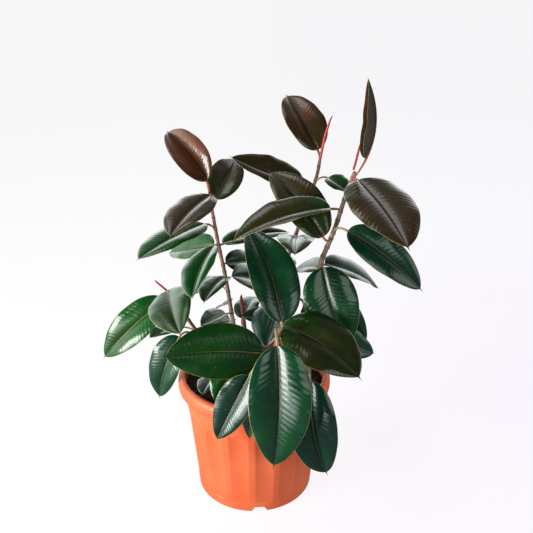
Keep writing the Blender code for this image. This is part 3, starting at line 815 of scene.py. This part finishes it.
def make_soil(material):
    """The bed of potting mix with crumbs, and bark chips lying on it."""
    draw = np.random.default_rng(11)
    around = 180
    turns = 2 * pi * np.arange(around) / around
    rings = []
    for radius, height in ((0.094, FLOOR_TOP + 0.0004), (SOIL_EDGE_RADIUS, 0.188)):
        rings.append(ring(radius, turns, height))
    for radius in (*np.linspace(SOIL_EDGE_RADIUS, 0.003, 62), 0.0006):
        x, y = radius * np.cos(turns), radius * np.sin(turns)
        crumbs = draw.normal(0, 0.00055, around) * (0.2 if radius < 0.01 else 1.0)
        edge = -0.0015 * (radius > SOIL_EDGE_RADIUS - 0.001)
        rings.append(np.stack((x, y, soil_height(x, y) + crumbs + edge), axis=1))
    bed_points, bed_faces = skin(rings)
    tints = [np.clip(draw.normal(0.25, 0.16, len(bed_points)), 0, 1)]
    parts = [(bed_points, bed_faces)]
    for _ in range(CHIPS):
        radius = 0.11 * np.sqrt(draw.random())
        turn = draw.random() * 2 * pi
        place = np.array((radius * cos(turn), radius * sin(turn), 0.0))
        place[2] = soil_height(place[0], place[1]) + draw.uniform(-0.0004, 0.0009)
        size = draw.gamma(2.4, 0.00085) + 0.0009
        sizes = size * draw.uniform((0.9, 0.6, 0.25), (2.2, 1.0, 0.6))
        parts.append(chip(draw, place, *sizes))
        tints.append(np.full(len(parts[-1][0]), np.clip(draw.beta(1.6, 1.9), 0, 1)))
    points, faces = join(parts)
    values = {"tint": np.concatenate(tints)}
    soil = make_piece("potting_mix", points, faces, [material], values=values, smooth_under=42.0)
    stand_for(soil, "soil")


def chip(draw, place, length, width, thickness):
    """An uneven flake, tipped a little and turned at random."""
    sides = 7
    rings = []
    for z, share in ((-0.5, 0.62), (-0.25, 0.95), (0.2, 1.0), (0.5, 0.6)):
        turns = 2 * pi * np.arange(sides) / sides + draw.normal(0, 0.1, sides)
        r = share * draw.uniform(0.78, 1.12, sides)
        rings.append(ring(r, turns, z * thickness * 2) * (length, width, 1.0))
    rings = np.array(rings)
    turn, tip, roll = draw.random() * 2 * pi, draw.normal(0, 0.28), draw.normal(0, 0.28)
    about_z = np.array(((cos(turn), -sin(turn), 0), (sin(turn), cos(turn), 0), (0, 0, 1)))
    about_y = np.array(((cos(tip), 0, sin(tip)), (0, 1, 0), (-sin(tip), 0, cos(tip))))
    about_x = np.array(((1, 0, 0), (0, cos(roll), -sin(roll)), (0, sin(roll), cos(roll))))
    return skin(rings @ (about_z @ about_y @ about_x).T + place)


# Shoots


def shoot_path(name):
    return curve_through([np.array(p) * MM for p in SHOOTS[name][0]], 1.6 * MM)


def shoot_radius(name, z):
    points, foot, top = SHOOTS[name]
    share = np.clip((z / MM - points[0][2]) / (points[-1][2] - points[0][2]), 0, 1)
    return (foot + (top - foot) * share) * MM


def point_on_shoot(name, z):
    path = shoot_path(name)
    i = int(np.clip(np.searchsorted(path[:, 2], z), 1, len(path) - 1))
    a, b = path[i - 1], path[i]
    t = float(np.clip((z - a[2]) / max(b[2] - a[2], 1e-9), 0, 1))
    return a + (b - a) * t, unit(b - a)


def make_shoot(name, material):
    """A shoot with a swollen ring and a dark scar at each node."""
    draw = np.random.default_rng(sum(map(ord, name)))
    path = shoot_path(name)
    foot = path[0] - UP * 0.004
    path = np.vstack((foot, path))
    heights = path[:, 2]
    radii = shoot_radius(name, heights)
    nodes = [leaf[1] * MM for leaf in LEAVES.values() if leaf[0] == name]
    bare = np.arange(SHOOTS[name][0][0][2] * MM + 0.012, SHOOTS[name][0][-1][2] * MM - 0.006, 0.0165)
    nodes += [z + draw.uniform(-0.003, 0.003) for z in bare if min(abs(z - n) for n in nodes) > 0.009]
    swelling, scars = np.zeros(len(path)), np.zeros(len(path))
    for z in nodes:
        swelling += np.exp(-(((heights - z) / 0.0024) ** 2)) * 0.16
        scars = np.maximum(scars, np.exp(-(((heights - z - 0.0012) / 0.0011) ** 2)))
    radii = radii * (1 + np.clip(swelling, 0, 0.2) - 0.03)
    radii[0] *= 1.15
    sides = 20
    ripple = 1 + draw.normal(0, 0.012, (len(path), sides))
    end = np.linspace(0, 1, 5)[1:]
    cap_path = path[-1] + directions(path)[-1] * (radii[-1] * 0.8 * np.sin(end * pi / 2))[:, None]
    cap_radii = radii[-1] * np.maximum(np.cos(end * pi / 2), 0.05)
    whole = np.vstack((path, cap_path))
    all_radii = np.concatenate((radii, cap_radii))[:, None] * np.vstack((ripple, np.ones((4, sides))))
    points, faces = skin(tube(whole, all_radii, sides))
    along = np.clip((whole[:, 2] - heights[0]) / (heights[-1] - heights[0]), 0, 1)
    values = {
        "along": np.repeat(along, sides),
        "scar": np.repeat(np.concatenate((scars, np.zeros(4))), sides),
        "pink": np.full(len(points), FRESHNESS[name]),
    }
    shoot = make_piece(f"shoot_{name}", points, faces, [material], values=values)
    stand_for(shoot, f"stem_{name}")


def make_sheath(name, material):
    """A rolled, pointed bud sheath with a spiral seam."""
    foot, point, radius, bow, brown = SHEATHS[name]
    foot, point = np.array(foot) * MM, np.array(point) * MM
    t = np.linspace(0, 1, 48)
    hook = SHEATH_HOOK * np.clip((t - 0.86) / 0.14, 0, 1) ** 2
    path = foot + (point - foot) * t[:, None] + np.outer(bow * MM * np.sin(pi * t) + hook, (1.0, 0.0, 0.0))
    swell = np.interp(t, SHEATH_PLACES, SHEATH_RADII)
    sides = 24
    turns = 2 * pi * np.arange(sides) / sides
    seam = np.exp(-((np.angle(np.exp(1j * (turns[None, :] - 1.6 * pi * t[:, None]))) / 0.28) ** 2))
    radii = radius * MM * swell[:, None] * (1 + 0.12 * seam)
    points, faces = skin(tube(path, radii, sides))
    values = {"along": np.repeat(t, sides), "brown": np.full(len(points), brown)}
    sheath = make_piece(f"bud_sheath_{name}", points, faces, [material], values=values)
    stand_for(sheath, f"sheath_{name}")


# Leaves


def blade_share(s):
    """The blade's half width at s, as a share of its greatest: round at the base, pointed at the tip."""
    q = np.clip(s / 0.95, 0, 1)
    rise, fall = 0.5, 0.72
    peak = (rise / (rise + fall)) ** rise * (fall / (rise + fall)) ** fall
    return q**rise * (1 - q) ** fall / peak


def half_width_at(s, width):
    blade = width * MM / 2 * blade_share(s) + 1.5 * MM * (1 - s)
    drip_tip = (1.0 + 0.034 * width) * MM * np.clip((1 - s) / 0.11, 0, 1) ** 1.5 + 0.18 * MM
    return (blade**2.2 + drip_tip**2.2) ** (1 / 2.2)


def blade_frame(leaf, s):
    """The midrib's points at s, its direction, the way to the left margin, and the upper face's normal."""
    _, _, base, tip, _, roll, _, arch, sway, _ = leaf
    base, tip = np.array(base) * MM, np.array(tip) * MM
    chord = tip - base
    length = np.linalg.norm(chord)
    along = chord / length
    normal = unit(UP - along * (UP @ along))
    side = np.cross(normal, along)
    roll = radians(roll)
    turned_side = side * cos(roll) + normal * sin(roll)
    turned_normal = normal * cos(roll) - side * sin(roll)
    bend = (turned_normal * arch + turned_side * sway) * length
    s = np.asarray(s, float)[..., None]
    points = base + chord * s + bend * 4 * s * (1 - s)
    tangent = unit(chord + bend * 4 * (1 - 2 * s))
    side = unit(turned_side - tangent * (tangent @ turned_side)[..., None])
    return points, tangent, side, np.cross(tangent, side)


def blade_rows(width):
    """Where the rows of a blade cross the midrib, and how many pairs of veins it has."""
    veins = VEIN_PAIRS - (width < 50) * 6
    even = np.arange(0, veins * ROWS_PER_VEIN + 1) / (veins * ROWS_PER_VEIN)
    base = np.array((0.0008, 0.0025, 0.005, 0.008, 0.012, 0.018, 0.026))
    tip = np.array((0.935, 0.942, 0.948, 0.953, 0.96, 0.97, 0.98, 0.99))
    rows = np.unique(np.round(np.concatenate((even, base, tip)), 5))
    return rows, veins


def leaf_surface(leaf, draw):
    """Rings round the blade from base to tip, and each point's numbers."""
    _, _, base, tip, width, _, fold, _, _, _ = leaf
    length = np.linalg.norm(np.array(tip) - np.array(base)) * MM
    fold = radians(fold)
    rows, veins = blade_rows(width)
    right_half = np.array(HALF_COLUMNS)
    u = np.concatenate((right_half[::-1], -right_half[1:]))
    s0, across = np.meshgrid(rows, u, indexing="ij")
    lean = VEIN_LEAN * np.abs(across) * (0.85 + 0.3 * np.abs(across)) * half_width_at(s0, width) / length
    s = np.clip(s0 + lean * np.clip(s0 / 0.03, 0, 1), 0, 1)
    half = half_width_at(s, width)
    points, _, side, normal = blade_frame(leaf, s)
    distance = np.abs(across) * half
    soft = np.sqrt(distance**2 + (1.4 * MM) ** 2) - 1.4 * MM
    height = soft * sin(fold)
    height -= CHANNEL_DEPTH * (1 - 0.55 * s) * np.exp(-((distance / CHANNEL_WIDTH) ** 2))
    height += half * BLADE_CROWN * (np.abs(across) - across**2)
    height -= half * MARGIN_CURL * np.abs(across) ** 4
    vein_place = s0 * veins
    wander = 0.12 * np.sin(5.3 * s0 * 6 + draw.random() * 6 + 2.0 * across)
    open_blade = np.clip((distance - 1.5 * MM) / (4 * MM), 0, 1) * np.clip((1 - np.abs(across)) / 0.14, 0, 1)
    uneven = draw.uniform(0.45, 1.55, veins + 2)[np.clip(np.round(vein_place).astype(int), 0, veins + 1)]
    depth = VEIN_RELIEF * np.clip(width / 75, 0.6, 1.3) * uneven
    height -= depth * np.cos(2 * pi * (vein_place + wander)) * open_blade
    phases = draw.random(4) * 2 * pi
    left, right = across > 0, across < 0
    wave = np.where(left, np.sin(2 * pi * 1.7 * s + phases[0]), np.sin(2 * pi * 1.9 * s + phases[1]))
    ripples = np.where(right, np.sin(2 * pi * 4.1 * s + phases[2]), np.sin(2 * pi * 3.7 * s + phases[3]))
    wave = wave + 0.5 * ripples
    height += 0.034 * half * wave * np.abs(across) ** 2.2
    upper = points + side * (across * half * cos(fold))[..., None] + normal * height[..., None]
    thick = BLADE_THICKNESS * (1 - 0.5 * np.abs(across) ** 2) * np.clip(half / (3 * MM), 0.25, 1)
    under = upper - normal * thick[..., None]
    rim_drop = thick[:, :1] * 0.5
    upper[:, 0] -= normal[:, 0] * rim_drop
    upper[:, -1] -= normal[:, -1] * rim_drop
    inner = slice(len(u) - 2, 0, -1)
    rings = np.concatenate((upper, under[:, inner]), axis=1)
    margin = (1 - np.abs(across)) * half / MM
    numbers = {"across": across, "along": s, "vein": vein_place + wander * 0.9, "margin": margin}
    values = {key: np.concatenate((grid, grid[:, inner]), axis=1).ravel() for key, grid in numbers.items()}
    return rings, values, len(u)


def petiole_start(leaf):
    shoot, node, base = leaf[0], leaf[1] * MM, np.array(leaf[2]) * MM
    centre, along = point_on_shoot(shoot, node)
    radius = shoot_radius(shoot, node)
    reach = base - centre
    if leaf[1] >= SHOOTS[shoot][0][-1][2]:
        return centre - along * 0.5 * MM, along
    out = unit(reach - along * (reach @ along))
    return centre + out * radius * 0.55, out


def leaf_rib_tube(leaf, draw):
    """The petiole and midrib as one tapering tube, a little proud of the blade's upper face."""
    base, width = np.array(leaf[2]) * MM, leaf[4]
    stalk = (1.1 + 0.0095 * width) * MM
    s = np.linspace(0.0, 0.955, 60)
    centre, tangent, side, normal = blade_frame(leaf, s)
    radii = stalk * (1 - s) ** 0.85 + 0.32 * MM
    proud = (0.62 - 0.4 * s) * MM
    sunk = CHANNEL_DEPTH * (1 - 0.55 * s) + radii - proud
    rib_path = centre - normal * sunk[:, None]
    start, out = petiole_start(leaf)
    end = rib_path[0]
    control = end - tangent[0] * np.linalg.norm(base - start) * 0.5
    t = np.linspace(0, 1, 26)[:-1, None]
    stalk_path = start * (1 - t) ** 2 + control * 2 * t * (1 - t) + end * t * t
    t = t[:, 0]
    stalk_radii = stalk * (0.88 + 0.55 * np.exp(-((t / 0.12) ** 2)) + 0.14 * t**3) + 0.32 * MM * t
    path = np.vstack((stalk_path, rib_path))
    along = directions(path)
    all_radii = np.concatenate((stalk_radii, radii))
    rings = tube(path[::-1], all_radii[::-1], RIB_SIDES, first_side=side[-1], along=along[::-1])[::-1]
    places = np.concatenate((t - 1, s))
    return rings, np.repeat(places, RIB_SIDES)


def make_leaf(name, materials):
    leaf = LEAVES[name]
    draw = np.random.default_rng(sum(ord(c) * (i + 3) for i, c in enumerate(name)))
    rings, values, columns = leaf_surface(leaf, draw)
    around = rings.shape[1]
    blade_points, blade_faces = skin(rings)
    tube_rings, places = leaf_rib_tube(leaf, draw)
    rib_points, rib_faces = skin(tube_rings)
    points, faces = join([(blade_points, blade_faces), (rib_points, rib_faces)])
    column = np.tile(np.arange(around), len(rings) - 1)
    kinds = np.where(column < columns - 1, 0, 1)
    kinds = np.concatenate((kinds, (1, 1), np.full(len(rib_faces), 2)))
    extra = len(rib_points)
    values = {key: np.concatenate((grid, np.zeros(extra))) for key, grid in values.items()}
    values["along"][-extra:] = places
    values["margin"][-extra:] = 10.0
    values["shade"] = np.full(len(points), leaf[-1])
    piece = make_piece(f"rubber_leaf_{name}", points, faces, materials, kinds, values, 70.0)
    stand_for(piece, f"leaf_{name}")


# Studio


def make_floor():
    """The pale sweep. In the leaves' shine it is over-lit on the left and dim on the right. Its glow turns
    faintly lavender to the right and towards the front, a painted shadow.
    """
    place = (0, 0, -0.0003)
    bpy.ops.mesh.primitive_circle_add(vertices=96, radius=FLOOR_RADIUS, fill_type="NGON", location=place)
    floor = bpy.context.object
    floor.name = "studio_floor"
    material, tree, shader = new_material("pale_floor")
    patches = noise(tree, 3.0, 2.0)
    colour = ramp(tree, patches, ((0.3, (0.175, 0.17, 0.18)), (0.7, (0.185, 0.18, 0.19))))
    feed(tree, colour, shader.inputs["Base Color"])
    place = put(tree, "SeparateXYZ")
    feed(tree, place_in_object(tree), place.inputs[0])
    # Painted shadow: the floor's glow is tinted faintly lavender to the right and towards the front.
    to_right = spread(tree, place.outputs[0], -0.4, 0.7)
    near = spread(tree, place.outputs[1], 0.1, 1.6, 1.0, 0.25)
    painted_shadow_tint = blend(tree, times(tree, to_right, near), (1.0, 1.0, 1.0), (0.955, 0.925, 0.985))
    feed(tree, painted_shadow_tint, shader.inputs["Emission Color"])
    # Painted pool of light on the floor at the front left, seen only in the leaves' shine.
    apart = put(tree, "VectorMath", operation="DISTANCE")
    feed(tree, place_in_object(tree), apart.inputs[0])
    apart.inputs[1].default_value = POOL_PLACE
    pool = spread(tree, apart.outputs["Value"], 0.35, 0.95, POOL_SHEEN, 0.0)
    sheen = plus(tree, spread(tree, place.outputs[0], -0.1, -1.0, *FLOOR_SHEEN), pool)
    rays = put(tree, "LightPath")
    glossy = rays.outputs["Is Glossy Ray"]
    dimmed = times_plus(tree, rays.outputs["Is Diffuse Ray"], FLOOR_BOUNCE - 1, 1.0)
    plain = times(tree, calc(tree, "SUBTRACT", dimmed, glossy, clamp=True), FLOOR_LIGHT)
    feed(tree, times_plus(tree, glossy, sheen, plain), shader.inputs["Emission Strength"])
    shader.inputs["Roughness"].default_value = 0.7
    shader.inputs["Specular IOR Level"].default_value = 0.0
    floor.data.materials.append(material)


def make_world():
    """A white backdrop behind and to the left, and a darker room on the other side."""
    world = bpy.data.worlds.new("studio")
    bpy.context.scene.world = world
    world.use_nodes = True
    tree = world.node_tree
    tree.nodes.clear()
    seen = put(tree, "Background")
    feed(tree, (1.0, 1.0, 1.0, 1.0), seen.inputs["Color"])
    direction = put(tree, "TexCoord").outputs["Generated"]
    facing = put(tree, "VectorMath", operation="DOT_PRODUCT")
    feed(tree, direction, facing.inputs[0])
    facing.inputs[1].default_value = BACKDROP_WAY
    climb = put(tree, "SeparateXYZ")
    feed(tree, direction, climb.inputs[0])
    low_down = spread(tree, climb.outputs[2], 0.2, 0.78, 1.0, 0.12)
    backdrop = times(tree, spread(tree, facing.outputs["Value"], -0.35, 0.55), low_down)
    lit = put(tree, "Background")
    lit.inputs["Color"].default_value = (0.95, 0.98, 1.0, 1.0)
    rays = put(tree, "LightPath")
    peak = times_plus(tree, rays.outputs["Is Glossy Ray"], BACKDROP_SHEEN, BACKDROP_LIGHT)
    strength = times_plus(tree, backdrop, peak, ROOM_LIGHT)
    feed(tree, strength, lit.inputs["Strength"])
    mix = put(tree, "MixShader")
    out = put(tree, "OutputWorld")
    feed(tree, rays.outputs["Is Camera Ray"], mix.inputs[0])
    feed(tree, lit.outputs[0], mix.inputs[1])
    feed(tree, seen.outputs[0], mix.inputs[2])
    feed(tree, mix.outputs[0], out.inputs[0])


def soft_box(name, place, target, size, power, colour):
    light = bpy.data.lights.new(name, "AREA")
    light.shape = "RECTANGLE"
    light.size, light.size_y = size
    light.energy = power
    light.color = colour
    obj = bpy.data.objects.new(name, light)
    obj.location = place
    obj.rotation_euler = (Vector(target) - Vector(place)).to_track_quat("-Z", "Y").to_euler()
    obj.visible_camera = False
    bpy.context.scene.collection.objects.link(obj)


def make_camera():
    data = bpy.data.cameras.new("camera")
    data.sensor_width = 36.0
    data.lens = CAMERA_LENS
    camera = bpy.data.objects.new("camera", data)
    camera.location = CAMERA_PLACE
    camera.rotation_euler = (radians(90 - CAMERA_DIP), 0.0, 0.0)
    bpy.context.scene.collection.objects.link(camera)
    bpy.context.scene.camera = camera


def main():
    clear_old()
    view = bpy.context.scene.view_settings
    view.view_transform = "Standard"
    view.look = "None"
    view.gamma = VIEW_GAMMA
    make_camera()
    make_floor()
    make_world()
    for name, settings in SOFT_BOXES.items():
        soft_box(name, *settings)
    vein_group()
    dust_group()
    grain_group()
    make_pot(pot_plastic())
    make_soil(potting_mix())
    bark_material, red = bark(), sheath_red()
    for name in SHOOTS:
        make_shoot(name, bark_material)
    for name in SHEATHS:
        make_sheath(name, red)
    leaf_materials = [leaf_upper(), leaf_under(), leaf_rib()]
    for name in LEAVES:
        make_leaf(name, leaf_materials)


main()
